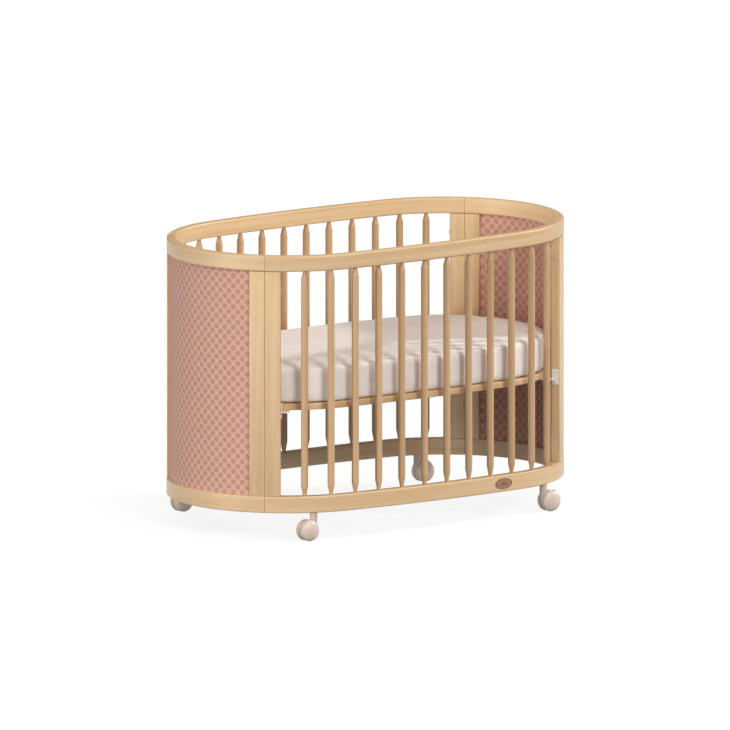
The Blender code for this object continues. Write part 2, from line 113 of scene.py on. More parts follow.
floor_mesh = bpy.data.meshes.new("floor")
corners = FLOOR_REACH * np.array([(-1, -1, 0), (1, -1, 0), (1, 1, 0), (-1, 1, 0)])
floor_mesh.from_pydata(corners, [], [(0, 1, 2, 3)])
floor = bpy.data.objects.new("floor", floor_mesh)
bpy.context.scene.collection.objects.link(floor)
floor.visible_diffuse = False
floor_paper = bpy.data.materials.new("floor_paper")
floor_paper.use_nodes = True
paper = floor_paper.node_tree.nodes["Principled BSDF"]
paper.inputs["Roughness"].default_value = 0.9
paper.inputs["Specular IOR Level"].default_value = 0.0
paper.inputs["Emission Color"].default_value = (1.0, 1.0, 1.0, 1)
floor_nodes = floor_paper.node_tree
floor_place = floor_nodes.nodes.new("ShaderNodeTexCoord")
floor_far = floor_nodes.nodes.new("ShaderNodeVectorMath")
floor_far.operation = "LENGTH"
floor_nodes.links.new(floor_place.outputs["Object"], floor_far.inputs[0])
# Shadows fall only near the crib: further out the paper is dark and glows by itself
for socket, near, far in (("Base Color", 0.17, 0.02), ("Emission Strength", 0.865, 1.02)):
    fade = floor_nodes.nodes.new("ShaderNodeMapRange")
    fade.inputs["From Min"].default_value = FLOOR_FADE_START
    fade.inputs["From Max"].default_value = FLOOR_FADE_END
    fade.inputs["To Min"].default_value = near
    fade.inputs["To Max"].default_value = far
    floor_nodes.links.new(floor_far.outputs["Value"], fade.inputs["Value"])
    floor_nodes.links.new(fade.outputs[0], paper.inputs[socket])
floor_mesh.materials.append(floor_paper)


# ---- Rails. Solid beech, steam-bent and glued up to four arcs, then moulded with eased edges and a
# ---- satin clear lacquer. Four top rails and four bottom rails meet in small V-grooves at the corners.

HALF_LENGTH = 0.666
HALF_WIDTH = 0.381
SIDE_RADIUS = 3.8
RAIL_DEPTH = 0.030
SEAM_TURN = radians(43.3)
SEAM_GAP = 0.0003
SEAM_CHAMFER = 0.0008
RAIL_EASING = 0.0062
BOTTOM_RAIL_EASING = 0.0045
RAIL_STEP = 0.012

end_radius = (2 * SIDE_RADIUS * HALF_WIDTH - HALF_LENGTH**2 - HALF_WIDTH**2) / (
    2 * (SIDE_RADIUS - HALF_LENGTH))
end_centre = HALF_LENGTH - end_radius
side_centre = SIDE_RADIUS - HALF_WIDTH
tangent = atan2(side_centre, end_centre)
radii = np.array([end_radius, SIDE_RADIUS] * 2)
centres = np.array([(end_centre, 0), (0, -side_centre), (-end_centre, 0), (0, side_centre)])
half_arcs = np.array([tangent, pi / 2 - tangent] * 2) * (radii - RAIL_DEPTH / 2)
quarter = half_arcs[0] + half_arcs[1]
arc_starts = np.cumsum([0, *(2 * half_arcs[:3])]) - half_arcs[0]
half_end_frame = (end_radius - RAIL_DEPTH / 2) * SEAM_TURN
half_side_frame = quarter - half_end_frame
top_rail_bottom, top_rail_top = (corner.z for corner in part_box("front_top_rail"))
bottom_rail_bottom, bottom_rail_top = (corner.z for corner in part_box("front_bottom_rail"))
pick = np.random.default_rng(11)


def on_ring(stations, insets):
    """Points of the plan, followed counter-clockwise from the middle of the right-hand end.

    A point is its arc's centre plus (radius - inset) times (cos a, sin a). The angle a grows with the
    station, an arc length along the middle of the rails, divided by the radius there.
    """
    stations, insets = np.broadcast_arrays(stations, insets)
    along = np.mod(stations - arc_starts[0], 4 * quarter) + arc_starts[0]
    arc = np.searchsorted(arc_starts, along, side="right") - 1
    angles = arc * (pi / 2) + (along - arc_starts[arc] - half_arcs[arc]) / (radii[arc] - RAIL_DEPTH / 2)
    outward = np.stack([np.cos(angles), np.sin(angles)], axis=-1)
    return centres[arc] + (radii[arc] - insets)[..., None] * outward


def straightened(points, middle):
    """The inverse of on_ring: station from a middle one, inset and height of each point."""
    x, y, z = np.abs(points[:, 0]), np.abs(points[:, 1]), points[:, 2]
    turn = np.arctan2(y, x - end_centre)
    lean = np.arctan2(x, y + side_centre)
    on_end = turn < tangent
    station = np.where(
        on_end, turn * (end_radius - RAIL_DEPTH / 2), quarter - lean * (SIDE_RADIUS - RAIL_DEPTH / 2))
    inset = np.where(
        on_end, end_radius - np.hypot(x - end_centre, y), SIDE_RADIUS - np.hypot(x, y + side_centre))
    station = np.where(points[:, 0] < 0, 2 * quarter - station, station)
    station = np.where(points[:, 1] < 0, -station, station)
    station = np.mod(station - middle + 2 * quarter, 4 * quarter) - 2 * quarter
    return np.stack([station, inset, z], axis=-1)


def rounded_rectangle(width, height, radius, corner_steps=6, width_steps=1, height_steps=1):
    """Closed outline about its centre: each corner is an arc of its radius, and flats run between them.

    A point close to each end of a flat keeps its shading flat.
    """
    w, h = width / 2 - radius, height / 2 - radius
    sweep = np.linspace(0, pi / 2, corner_steps + 1)
    outline = []
    for turn, (x, y), run, steps in (
            (0, (w, h), w, width_steps), (1, (-w, h), h, height_steps),
            (2, (-w, -h), w, width_steps), (3, (w, -h), h, height_steps)):
        angles = sweep + turn * pi / 2
        arc = np.stack([x + radius * np.cos(angles), y + radius * np.sin(angles)], axis=-1)
        travel = np.array([np.cos(angles[-1] + pi / 2), np.sin(angles[-1] + pi / 2)])
        close = min(0.0008, run / 4)
        runs = np.linspace(close, 2 * run - close, steps + 1)[:, None]
        outline += [arc, arc[-1] + runs * travel]
    return np.concatenate(outline)


def shell(grid, closed_rows=False):
    """Skin over a grid of points whose columns go round: quads between rows, and the end rows filled in."""
    rows, columns = grid.shape[:2]
    row = np.arange(rows if closed_rows else rows - 1)[:, None]
    column = np.arange(columns)[None]
    following, above = (column + 1) % columns, (row + 1) % rows
    faces = np.stack([
        row * columns + column, row * columns + following,
        above * columns + following, above * columns + column], axis=-1).reshape(-1, 4).tolist()
    if not closed_rows:
        faces += [list(range(columns))[::-1], list(range((rows - 1) * columns, rows * columns))]
    return grid.reshape(-1, 3), faces


def make_mesh_object(name, shells, sharp=radians(38)):
    """One object from several skins, with the faces of each turned outwards and only crisp edges sharp."""
    starts = np.cumsum([0] + [len(points) for points, _ in shells])
    faces = [[corner + start for corner in face] for (_, part), start in zip(shells, starts) for face in part]
    mesh = bpy.data.meshes.new(name)
    mesh.from_pydata(np.concatenate([points for points, _ in shells]), [], faces)
    shape = bmesh.new()
    shape.from_mesh(mesh)
    bmesh.ops.recalc_face_normals(shape, faces=shape.faces)
    shape.to_mesh(mesh)
    shape.free()
    mesh.shade_smooth()
    mesh.set_sharp_from_angle(angle=sharp)
    item = bpy.data.objects.new(name, mesh)
    bpy.context.scene.collection.objects.link(item)
    return item


def mesh_points(item):
    points = np.empty(3 * len(item.data.vertices), np.float32)
    item.data.vertices.foreach_get("co", points)
    return points.reshape(-1, 3).astype(float)


def lay_pattern(item, coordinates, name="grain"):
    """Keeps a pattern's own coordinates on a piece's points, for its material to read."""
    attribute = item.data.attributes.new(name, "FLOAT_VECTOR", "POINT")
    attribute.data.foreach_set("vector", coordinates.astype(np.float32).ravel())


def place(item, material, slot, body, *nodes):
    """Gives a piece its finish and its body, and lets it stand for CAD nodes."""
    item.data.materials.append(material)
    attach(item, body)
    if nodes:
        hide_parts(*nodes)


class Flow:
    """A number on its way between shader nodes; arithmetic on it adds Math nodes."""

    def __init__(self, paint, socket):
        self.paint = paint
        self.socket = socket

    def math(self, operation, first, second):
        return self.paint.node("ShaderNodeMath", {"operation": operation}, {0: first, 1: second})

    def __add__(self, other):
        return self.math("ADD", self, other)

    def __sub__(self, other):
        return self.math("SUBTRACT", self, other)

    def __rsub__(self, other):
        return self.math("SUBTRACT", other, self)

    def __mul__(self, other):
        return self.math("MULTIPLY", self, other)

    def __pow__(self, other):
        return self.math("POWER", self, other)

    __radd__ = __add__
    __rmul__ = __mul__


class Paint:
    """One material. Its fixed numbers go on the shader's own sockets, and node() adds every other node."""

    def __init__(self, name, **fixed):
        self.material = bpy.data.materials.new(name)
        self.material.use_nodes = True
        self.tree = self.material.node_tree
        self.shader = self.tree.nodes["Principled BSDF"]
        for socket, value in fixed.items():
            self.shader.inputs[socket.replace("_", " ")].default_value = value

    def node(self, kind, settings, sockets, output=0):
        """Adds a node: its settings first, then the values or links of its sockets."""
        made = self.tree.nodes.new(kind)
        for setting, value in settings.items():
            setattr(made, setting, value)
        for socket, value in sockets.items():
            self.feed(made.inputs[socket], value)
        return Flow(self, made.outputs[output])

    def feed(self, socket, value):
        if isinstance(value, Flow):
            self.tree.links.new(value.socket, socket)
        elif hasattr(value, "__len__") and len(value) == 3 and socket.type == "RGBA":
            socket.default_value = (*value, 1)
        else:
            socket.default_value = value

    def finish(self, **varying):
        for socket, value in varying.items():
            self.feed(self.shader.inputs[socket.replace("_", " ")], value)
        return self.material

    def mix(self, factor, first, second):
        """A colour on its way from the first to the second."""
        return self.node("ShaderNodeMix", {"data_type": "RGBA"}, {0: factor, 6: first, 7: second}, 2)

    def step(self, value, low, high):
        """0 below low, 1 above high, and a smooth rise between."""
        return self.node("ShaderNodeMapRange", {"interpolation_type": "SMOOTHSTEP"}, {
            "Value": value, "From Min": low, "From Max": high})

    def stretched(self, vector, sizes):
        return self.node("ShaderNodeVectorMath", {"operation": "MULTIPLY"}, {0: vector, 1: sizes})

    def noise(self, vector, sizes, detail=2.0):
        """Soft random values whose spots measure about 1 / sizes along each direction."""
        return self.node("ShaderNodeTexNoise", {}, {
            "Vector": self.stretched(vector, sizes), "Scale": 1.0, "Detail": detail, "Roughness": 0.55})

    def bump(self, height, strength, distance):
        return self.node("ShaderNodeBump", {}, {"Height": height, "Strength": strength, "Distance": distance})


def colour(red, green, blue):
    """A colour given in the 0 to 255 steps of a paint chart, as the shader's linear values."""
    return tuple((part / 255 / 12.92 if part < 11 else ((part / 255 + 0.055) / 1.055) ** 2.4)
                 for part in (red, green, blue))


def beech_finish(name, pale, warm, rosy, tips=None):
    """Lacquered beech: broad bands and rosy streaks along the grain, fine fibres, and short dark rays.

    The first coordinate of the grain attribute runs along the fibres. tips gives the heights at which
    turned ends redden.
    """
    paint = Paint(name, Coat_Weight=0.22, Coat_Roughness=0.30, Specular_IOR_Level=0.42)
    grain = paint.node("ShaderNodeAttribute", {"attribute_name": "grain"}, {}, "Vector")
    bands = paint.noise(grain, (1.3, 34, 34), 3.0)
    streaks = paint.noise(grain, (2.1, 95, 95), 3.0)
    fibres = paint.noise(grain, (14, 850, 850), 3.0)
    rays = paint.noise(grain, (190, 1900, 1500), 1.0)
    tone = paint.mix(paint.step(bands, 0.36, 0.66), pale, warm)
    tone = paint.mix(0.55 * paint.step(streaks, 0.52, 0.74), tone, rosy)
    tone = paint.mix(0.20 * paint.step(fibres, 0.45, 0.75), tone, tuple(0.62 * part for part in warm))
    tone = paint.mix(0.30 * paint.step(rays, 0.62, 0.72), tone, tuple(0.45 * part for part in rosy))
    if tips:
        place_in_room = paint.node("ShaderNodeTexCoord", {}, {}, "Object")
        height = paint.node("ShaderNodeSeparateXYZ", {}, {0: place_in_room}, "Z")
        low, high = tips
        near_tip = paint.step(height, high - 0.03, high) + paint.step(-1 * height, -low - 0.03, -low)
        tone = paint.mix(0.45 * near_tip, tone, rosy)
    return paint.finish(
        Base_Color=tone, Roughness=0.34 + 0.16 * fibres,
        Normal=paint.bump(fibres - 0.6 * paint.step(rays, 0.6, 0.75), 0.25, 0.00025))


frame_beech = beech_finish("frame_beech", colour(227, 197, 155), colour(216, 181, 137), colour(222, 176, 138))


def carried_round(stations, section, ends=0.0):
    """A section of (inset, height) points carried along stations; ends is the chamfer at both of them."""
    grid = np.empty((len(stations), len(section), 3))
    middle = (section.min(axis=0) + section.max(axis=0)) / 2
    half = (section.max(axis=0) - section.min(axis=0)) / 2
    shrink = np.ones((len(stations), 1, 2))
    shrink[[0, -1]] = 1 - ends / half
    sized = middle + (section - middle) * shrink
    grid[..., :2] = on_ring(stations[:, None], sized[..., 0])
    grid[..., 2] = sized[..., 1]
    return grid


frame_parts = (
    ("front", 3 * quarter, half_side_frame), ("rear", quarter, half_side_frame),
    ("right_end", 0.0, half_end_frame), ("left_end", 2 * quarter, half_end_frame))
for part, middle, reach in frame_parts:
    run = np.linspace(-reach + SEAM_GAP, reach - SEAM_GAP, 2 + round(2 * reach / RAIL_STEP))
    run = np.concatenate([run[:1], run[:1] + SEAM_CHAMFER, run[1:-1], run[-1:] - SEAM_CHAMFER, run[-1:]])
    for level, low, high, easing in (
            ("top", top_rail_bottom, top_rail_top, RAIL_EASING),
            ("bottom", bottom_rail_bottom, bottom_rail_top, BOTTOM_RAIL_EASING)):
        section = rounded_rectangle(RAIL_DEPTH, high - low, easing)
        section += (RAIL_DEPTH / 2, (low + high) / 2)
        arc = carried_round(middle + run, section, SEAM_CHAMFER)
        rail = make_mesh_object(f"{part}_{level}_rail_bent", [shell(arc)])
        lay_pattern(rail, straightened(mesh_points(rail), middle) + pick.uniform(-9, 9, 3))
        place(rail, frame_beech, "frame_beech", "frame", f"{part}_{level}_rail")


# ---- Posts. Each frame has two upright staves of beech, curved in plan like the rails that they join.
# ---- A side post has a shallow milled pocket with two screw holes, for the lower height of the base.

POST_INSET = 0.001
POST_EASING = 0.0025
SIDE_POST_WIDTH = 0.047
END_POST_WIDTH = 0.047
POST_END_EASING = 0.0005         # a fine bevel at the top and bottom of a stave, where it meets the rails
POCKET_DEPTH = 0.0012
POCKET_MARGIN = 0.002
BASE_TRAVEL = 0.2035
PLATE_CENTRE = 0.402
PLATE_HEIGHT = 0.050
PLATE_WIDTH = 0.021
PLATE_INSET = 0.0045
SCREW_HOLE_SPREAD = 0.017
SCREW_HOLE_RADIUS = 0.0021
SCREW_HOLE_DEPTH = 0.008

post_bottom = bottom_rail_top + SEAM_GAP
post_top = top_rail_bottom - SEAM_GAP


def slab(outline, thickness, edge):
    """An outline given a thickness about Z = 0, its rim eased by edge.

    The rows rise through the thickness, and the first and last are scaled in about the outline's middle.
    """
    middle = (outline.min(axis=0) + outline.max(axis=0)) / 2
    half = (outline.max(axis=0) - outline.min(axis=0)) / 2
    lean = np.array([1.0, 0.3, 0.0, 0.0, 0.3, 1.0])
    rise = np.array([-1.0, -1.0, -1.0, 1.0, 1.0, 1.0]) * thickness / 2
    rise += np.array([0.0, 0.3, 1.0, -1.0, -0.3, 0.0]) * edge
    flat = middle + (outline - middle) * (1 - lean[:, None, None] * edge / half)
    return np.concatenate([flat, np.broadcast_to(rise[:, None, None], (*flat.shape[:2], 1))], axis=-1)


def turned(profile, sides, axes=Matrix.Identity(4)):
    """A profile of (radius, height) points turned about the axes' Z: x, y = radius times (cos a, sin a)."""
    angles = np.linspace(0, 2 * pi, sides, endpoint=False)
    radius, height = np.array(profile)[:, 0, None], np.array(profile)[:, 1, None]
    grid = np.stack(np.broadcast_arrays(radius * np.cos(angles), radius * np.sin(angles), height), axis=-1)
    return moved(grid, axes)


def moved(points, axes):
    """Points laid out in a matrix's axes."""
    turn, shift = np.array(axes.to_3x3()), np.array(axes.translation)
    return points @ turn.T + shift


def carve(item, shells):
    """Cuts skins out of a piece and keeps the cut mesh."""
    cutter = make_mesh_object("cutter", shells)
    boolean = item.modifiers.new("cut", "BOOLEAN")
    boolean.operation = "DIFFERENCE"
    boolean.solver = "EXACT"
    boolean.object = cutter
    cut = bpy.data.meshes.new_from_object(item.evaluated_get(bpy.context.evaluated_depsgraph_get()))
    item.modifiers.clear()
    item.data = cut
    cut.shade_smooth()
    cut.set_sharp_from_angle(angle=radians(38))
    bpy.data.objects.remove(cutter, do_unlink=True)


def slat_side_axes(station, toward_slats, height):
    """Axes on a side post's radial face: X outwards from the crib, Z out of the face, Y down."""
    here, outside = (np.append(on_ring(station, inset), height) for inset in (0.0, -1.0))
    outward = Vector(outside - here)
    normal = Vector((-outward.y, outward.x, 0)) * toward_slats
    axes = Matrix((outward, normal.cross(outward), normal)).transposed().to_4x4()
    axes.translation = Vector(here)
    return axes


def post_blank(start, stop):
    """The outline in plan, in stations and insets, carried up from rail to rail."""
    outline = rounded_rectangle(
        stop - start, RAIL_DEPTH - 2 * POST_INSET, POST_EASING, 5, width_steps=round((stop - start) / 0.005))
    heights = np.array([post_bottom, post_bottom + POST_END_EASING, post_top - POST_END_EASING, post_top])
    size = np.ptp(outline, axis=0)
    lean = np.array([1.0, 0.0, 0.0, 1.0])[:, None, None]
    plan = outline * (1 - lean * 0.0006 / size) + ((start + stop) / 2, RAIL_DEPTH / 2)
    grid = np.empty((*plan.shape[:2], 3))
    grid[..., :2] = on_ring(plan[..., 0], plan[..., 1])
    grid[..., 2] = heights[:, None]
    return grid


pocket_middle = -PLATE_INSET - PLATE_WIDTH / 2
pocket_outline = rounded_rectangle(
    PLATE_WIDTH + 2 * POCKET_MARGIN, PLATE_HEIGHT + 2 * POCKET_MARGIN, 0.004) + (pocket_middle, 0)
side_faces = {}
for part, middle, reach in frame_parts:
    width = SIDE_POST_WIDTH if reach == half_side_frame else END_POST_WIDTH
    low, high = middle - reach + SEAM_GAP, middle + reach - SEAM_GAP
    for start, toward_slats in ((low, 1), (high - width, -1)):
        blank = post_blank(start, start + width)
        x, y = blank[..., 0].mean(), blank[..., 1].mean()
        if part in ("front", "rear"):
            post_name = f"{part}_{'right' if x > 0 else 'left'}_post"
        else:
            post_name = f"{part}_{'rear' if y > 0 else 'front'}_post"
        post = make_mesh_object(f"{post_name}_stave", [shell(blank)])
        if part in ("front", "rear"):
            face_station = start + width if toward_slats > 0 else start
            side_faces[post_name[:-5]] = (face_station, toward_slats)
            pocket = slat_side_axes(face_station, toward_slats, PLATE_CENTRE - BASE_TRAVEL)
            cuts = [shell(moved(slab(pocket_outline, 2 * POCKET_DEPTH, 0.0003), pocket))]
            for shift in (-SCREW_HOLE_SPREAD, SCREW_HOLE_SPREAD):
                hole_axes = pocket @ Matrix.Translation((pocket_middle, shift, 0))
                drill = [(SCREW_HOLE_RADIUS, -SCREW_HOLE_DEPTH), (SCREW_HOLE_RADIUS, 0.001)]
                cuts.append(shell(turned(drill, 20, hole_axes)))
            carve(post, cuts)
        along = straightened(mesh_points(post), middle)
        lay_pattern(post, along[:, [2, 0, 1]] + pick.uniform(-9, 9, 3))
        place(post, frame_beech, "frame_beech", "frame", post_name)


# ---- Cross bolts. Nickel-plated steel, one near the top of each side post and one in its pocket. Their
# ---- low domed heads have a round driver recess.

BOLT_RADIUS = 0.0058
TOP_BOLT_HEIGHT = 0.7755
LOW_BOLT_SINK = 0.0026           # the low head lies below the face, so that a bracket can cover it

bolt_profile = [
    (0.0004, 0.0006), (0.0024, 0.0006), (0.0026, 0.0008), (0.0027, 0.0020), (0.0031, 0.0022),
    (0.0046, 0.0019), (0.0055, 0.0012), (BOLT_RADIUS, 0.0004), (BOLT_RADIUS, -0.0004), (0.0004, -0.0004)]
bolt_paint = Paint("nickel_plate", Metallic=0.55, Base_Color=(*colour(206, 198, 186), 1))
room_place = bolt_paint.node("ShaderNodeTexCoord", {}, {}, "Object")
scuffs = bolt_paint.noise(room_place, (900, 900, 260), 3.0)
nickel = bolt_paint.finish(
    Base_Color=bolt_paint.mix(
        bolt_paint.step(scuffs, 0.4, 0.7), colour(212, 204, 192), colour(186, 176, 164)),
    Roughness=0.26 + 0.22 * scuffs, Normal=bolt_paint.bump(scuffs, 0.12, 0.0002))
for post_side, (face_station, toward_slats) in side_faces.items():
    heads = []
    for height, sink in ((TOP_BOLT_HEIGHT, 0.0), (PLATE_CENTRE - BASE_TRAVEL, -LOW_BOLT_SINK)):
        on_face = slat_side_axes(face_station, toward_slats, height)
        heads.append(shell(turned(bolt_profile, 32, on_face @ Matrix.Translation((pocket_middle, 0, sink)))))
    place(make_mesh_object(f"{post_side}_post_bolts", heads), nickel, "plate_metal", "frame")


# ---- Slats. Beech dowels, turned on a lathe with a short pencil point at the top and a longer one at the
# ---- bottom, and glued into drilled holes in the rails.

SLATS = 12
SLAT_PITCH = 0.0846
SLAT_RADIUS = 0.011
SLAT_TIP_RADIUS = 0.0052
SLAT_TOP_TAPER = 0.024
SLAT_BOTTOM_TAPER = 0.030
TIP_SINK = 0.0015

slat_beech = beech_finish(
    "slat_beech", colour(207, 173, 132), colour(197, 160, 119), colour(199, 149, 115),
    (bottom_rail_top, top_rail_bottom))


def pencil_point(length, steps=5):
    """Radius and distance from the rail: a plain cone, with a slight waist just above or below the rail."""
    share = np.linspace(0, 1, steps + 1)
    radius = SLAT_TIP_RADIUS + (SLAT_RADIUS - SLAT_TIP_RADIUS) * (0.90 * share + 0.10 * share**3)
    return radius, share * length


top_radius, top_distance = pencil_point(SLAT_TOP_TAPER)
bottom_radius, bottom_distance = pencil_point(SLAT_BOTTOM_TAPER)
shaft = np.linspace(0.0007, 1 - 0.0007, 5)
shaft_low, shaft_high = bottom_rail_top + SLAT_BOTTOM_TAPER, top_rail_bottom - SLAT_TOP_TAPER
slat_profile = np.concatenate([
    [(SLAT_TIP_RADIUS, bottom_rail_top - TIP_SINK)],
    np.stack([bottom_radius, bottom_rail_top + bottom_distance], axis=-1),
    np.stack([np.full(5, SLAT_RADIUS), shaft_low + (shaft_high - shaft_low) * shaft], axis=-1),
    np.stack([top_radius, top_rail_bottom - top_distance], axis=-1)[::-1],
    [(SLAT_TIP_RADIUS, top_rail_bottom + TIP_SINK)]])
for part, middle in (("front", 3 * quarter), ("rear", quarter)):
    offsets = (np.arange(SLATS) - (SLATS - 1) / 2) * SLAT_PITCH
    feet = on_ring(middle + offsets, RAIL_DEPTH / 2)
    for number, foot in enumerate(feet[np.argsort(feet[:, 0])], 1):
        dowel = turned(slat_profile, 64, Matrix.Rotation(pick.uniform(0, pi), 4, "Z"))
        slat = make_mesh_object(f"{part}_slat_{number:02d}_dowel", [shell(dowel + (*foot, 0))], radians(7))
        centred = mesh_points(slat) - (*foot, 0)
        lay_pattern(slat, centred[:, [2, 0, 1]] + pick.uniform(-9, 9, 3))
        place(slat, slat_beech, "slat_beech", "frame", f"{part}_slat_{number:02d}")


# ---- Cloth panels. Each end frame is closed by a thin curved board, wrapped in pink cotton cloth that is
# ---- printed with rows of small darker rings. The cloth is pulled tight over the board's rounded edges.

PANEL_INSET = 0.010
PANEL_THICKNESS = 0.008
PANEL_EDGE = 0.0028
PRINT_ACROSS = 0.030
PRINT_UP = 0.032
RING_RADIUS = 0.0046
RING_LINE = 0.0027
PRINT_WANDER = 0.0016            # how far the print strays from its lattice
LATTICE_SHIFT = 9.0              # a whole number of cells, so that no coordinate is negative
THREAD = 0.0011


def printed_cloth_finish():
    """Rings on a staggered lattice: the distance to the nearest ring's centre, in metres, picks the ink.

    Each of the two lattices folds the cloth's coordinates into one cell, and the smaller distance wins.
    Between the rings lies a paler spot, on two more lattices.
    """
    paint = Paint("printed_cloth", Sheen_Weight=0.25, Sheen_Roughness=0.5, Specular_IOR_Level=0.2)
    cloth = paint.node("ShaderNodeAttribute", {"attribute_name": "cloth"}, {}, "Vector")
    wander = paint.noise(cloth, (55, 55, 55), 1.0)
    across = paint.node("ShaderNodeSeparateXYZ", {}, {0: cloth}, "X") + PRINT_WANDER * (wander - 0.5)
    up = paint.node("ShaderNodeSeparateXYZ", {}, {0: cloth}, "Y") + PRINT_WANDER * (wander - 0.5)
    shift_across, shift_up = LATTICE_SHIFT, LATTICE_SHIFT * PRINT_UP / PRINT_ACROSS

    def folded(place, pitch):
        return paint.node("ShaderNodeMath", {"operation": "PINGPONG"}, {0: place, 1: pitch / 2})

    def to_nearest(start_across, start_up):
        cell_x = folded(across + start_across, PRINT_ACROSS)
        cell_y = folded(up + start_up, PRINT_UP)
        return (cell_x**2 + cell_y**2) ** 0.5

    ring_place = paint.node("ShaderNodeMath", {"operation": "MINIMUM"}, {
        0: to_nearest(shift_across, shift_up),
        1: to_nearest(shift_across + PRINT_ACROSS / 2, shift_up + PRINT_UP / 2)})
    off_line = paint.node("ShaderNodeMath", {"operation": "ABSOLUTE"}, {0: ring_place - RING_RADIUS})
    ink = 1 - paint.step(off_line, 0.4 * RING_LINE, 1.3 * RING_LINE)
    spark_place = paint.node("ShaderNodeMath", {"operation": "MINIMUM"}, {
        0: to_nearest(shift_across + PRINT_ACROSS / 2, shift_up),
        1: to_nearest(shift_across, shift_up + PRINT_UP / 2)})
    spark = 1 - paint.step(spark_place, 0.0012, 0.0042)
    warp = paint.node("ShaderNodeMath", {"operation": "SINE"}, {0: across * (2 * pi / THREAD)})
    weft = paint.node("ShaderNodeMath", {"operation": "SINE"}, {0: up * (2 * pi / THREAD)})
    threads = warp * weft
    slub = paint.noise(cloth, (60, 700, 60), 2.0)
    tone = paint.mix(0.35 * slub, colour(226, 183, 167), colour(212, 166, 151))
    tone = paint.mix(0.45 * spark, tone, colour(240, 196, 180))
    tone = paint.mix(0.85 * ink, tone, colour(190, 130, 115))
    tone = paint.mix(0.10 * (threads + 1), tone, colour(188, 134, 119))
    return paint.finish(
        Base_Color=tone, Roughness=0.82 + 0.12 * slub,
        Normal=paint.bump(threads + 0.8 * slub + 0.5 * ink, 0.35, 0.00025))


printed_cloth = printed_cloth_finish()
cloth_rise = np.linspace(post_bottom, post_top, 60)
for part, middle in (("right_end", 0.0), ("left_end", 2 * quarter)):
    half_cloth = half_end_frame - END_POST_WIDTH - 2 * SEAM_GAP
    outline = rounded_rectangle(2 * half_cloth, PANEL_THICKNESS, PANEL_EDGE, 4, width_steps=44)
    plan = on_ring(middle + outline[:, 0], outline[:, 1] + PANEL_INSET + PANEL_THICKNESS / 2)
    grid = np.empty((len(cloth_rise), len(outline), 3))
    grid[..., :2] = plan
    grid[..., 2] = cloth_rise[:, None]
    panel = make_mesh_object(f"{part}_cloth", [shell(grid)])
    lay_pattern(panel, straightened(mesh_points(panel), middle)[:, [0, 2, 1]], "cloth")
    place(panel, printed_cloth, "printed_cloth", "frame", f"{part}_cloth_panel")
    2 * half_cloth


# ---- Mattress base. A flat oval rim of beech plywood, with eleven thin sprung slats let in across it.

BASE_INSET = 0.050
BASE_RIM_WIDTH = 0.060
BASE_SLATS = 11
BASE_SLAT_PITCH = 0.100
BASE_SLAT_WIDTH = 0.060
BASE_SLAT_THICKNESS = 0.014
BASE_SLAT_MARGIN = 0.015

base_bottom, base_top = (corner.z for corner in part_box("mattress_base"))
base_beech = beech_finish("base_beech", colour(226, 194, 152), colour(212, 174, 130), colour(216, 168, 130))
rim_section = rounded_rectangle(BASE_RIM_WIDTH, base_top - base_bottom, 0.0035, 5)
rim_section += (BASE_INSET + BASE_RIM_WIDTH / 2, (base_bottom + base_top) / 2)
all_round = np.linspace(0, 4 * quarter, 300, endpoint=False)
rim = make_mesh_object("mattress_base_rim", [shell(carried_round(all_round, rim_section), closed_rows=True)])
lay_pattern(rim, mesh_points(rim) + pick.uniform(-9, 9, 3))
place(rim, base_beech, "base_beech", "base", "mattress_base")


def half_width_at(x, inset):
    """Half the oval's width at a distance from the middle: an arc's height above the centre line."""
    x = np.abs(x)
    return np.where(
        x < end_centre, np.sqrt((SIDE_RADIUS - inset) ** 2 - x**2) - side_centre,
        np.sqrt(np.maximum((end_radius - inset) ** 2 - (x - end_centre) ** 2, 0)))


lath_shells, lath_grain = [], []
for number in range(BASE_SLATS):
    x = (number - (BASE_SLATS - 1) / 2) * BASE_SLAT_PITCH
    reach = float(half_width_at(abs(x) + BASE_SLAT_WIDTH / 2, BASE_INSET + BASE_SLAT_MARGIN))
    lath = slab(rounded_rectangle(BASE_SLAT_WIDTH, 2 * reach, 0.004, 4), BASE_SLAT_THICKNESS, 0.002)
    lath_shells.append(shell(lath + (x, 0, (base_bottom + base_top) / 2)))
    lath_grain.append(lath.reshape(-1, 3)[:, [1, 0, 2]] + pick.uniform(-9, 9, 3))
laths = make_mesh_object("mattress_base_laths", lath_shells)
lay_pattern(laths, np.concatenate(lath_grain))
place(laths, base_beech, "base_beech", "base")


# ---- Base brackets. A pressed steel plate is screwed to the slat side of each side post, and a ledge
# ---- welded to it runs in under the base. Pale grey-beige powder coat over the steel.

PLATE_THICKNESS = 0.0025
LEDGE_WIDTH = 0.024
LEDGE_THICKNESS = 0.003
LEDGE_END = 0.085                # inset of the ledge's inner end
PRESSED_EDGE = 0.0006
SCREW_SCALE = 0.62               # a bracket screw beside a cross bolt


def powder_coat_finish(name, light, dark, roughness, metallic=0.0):
    """Fine orange-peel texture with slightly rubbed high spots."""
    paint = Paint(name, Metallic=metallic, Specular_IOR_Level=0.45)
    spot = paint.node("ShaderNodeTexCoord", {}, {}, "Object")
    peel = paint.noise(spot, (850, 850, 850), 2.0)
    cloudy = paint.noise(spot, (42, 42, 42), 3.0)
    return paint.finish(
        Base_Color=paint.mix(paint.step(cloudy, 0.38, 0.68), light, dark),
        Roughness=roughness + 0.10 * peel, Normal=paint.bump(peel, 0.10, 0.0002))


